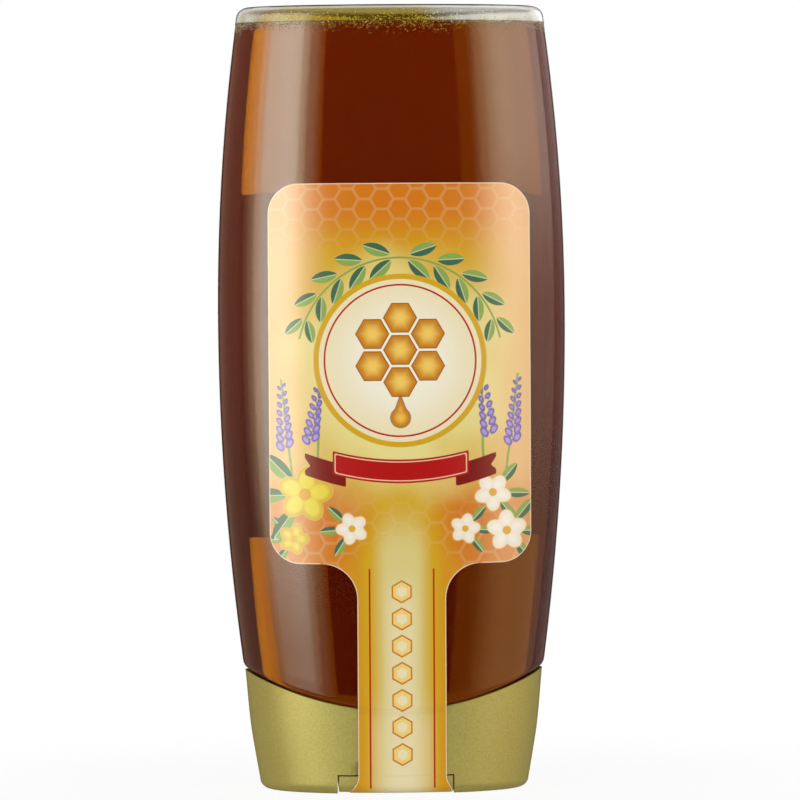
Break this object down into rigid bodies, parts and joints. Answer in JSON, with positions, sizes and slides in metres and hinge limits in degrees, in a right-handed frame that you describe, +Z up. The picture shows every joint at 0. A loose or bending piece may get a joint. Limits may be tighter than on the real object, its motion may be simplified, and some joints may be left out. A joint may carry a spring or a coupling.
{
  "type": "honey squeeze bottle",
  "caption": "Inverted oval squeeze bottle of dark honey standing on its flip-top screw cap, with a printed label whose tail seals the lid.",
  "frame": {"origin": "on the bottle's vertical axis, in the plane of the cap's end face that it stands on", "axes": "+Z up along the bottle, -Y towards the front label, +X to the right seen from the front"},
  "size_m": [0.0802, 0.0438, 0.18],
  "materials": {
    "clear_pet": "clear, glossy blow-moulded plastic",
    "honey": "dark amber honey, clear and glossy",
    "cap_plastic": "olive-gold satin plastic with fine pearl flakes",
    "label_print": "printed semi-gloss film label in orange, yellow and cream",
    "silicone": "translucent milky silicone",
    "white_plastic": "plain white moulded plastic",
    "seal_foam": "white sealing liner"
  },
  "bodies": {
    "cap": {"cap_body": "cap_plastic", "seal_strip": "label_print", "hinge_film_left": "cap_plastic", "hinge_film_right": "cap_plastic", "hinge_spring": "cap_plastic", "dosing_valve": "silicone", "valve_retainer": "white_plastic"},
    "lid": {"flip_lid": "cap_plastic", "seal_tab": "label_print"},
    "seal_ring": {"neck_seal": "seal_foam"},
    "bottle": {"bottle": "clear_pet", "honey_fill": "honey", "front_label": "label_print", "back_label": "label_print"}
  },
  "joints": [
    {"name": "lid_flip", "type": "hinge", "parent": "cap", "child": "lid", "pos_m": [0, 0.013, 0.00065], "axis": [1, 0, 0], "range_deg": [0, 130]},
    {"name": "cap_twist", "type": "hinge", "parent": "cap", "child": "seal_ring", "pos_m": [0, 0, 0.00665], "axis": [0, 0, 1], "range_deg": [0, 400]},
    {"name": "bottle_rise", "type": "slide", "parent": "seal_ring", "child": "bottle", "axis": [0, 0, 1], "range_m": [0, 0.00401]}
  ],
  "couplings": [
    {"joint": "bottle_rise", "follows": "cap_twist", "m_per_rad": 0.00057296}
  ]
}
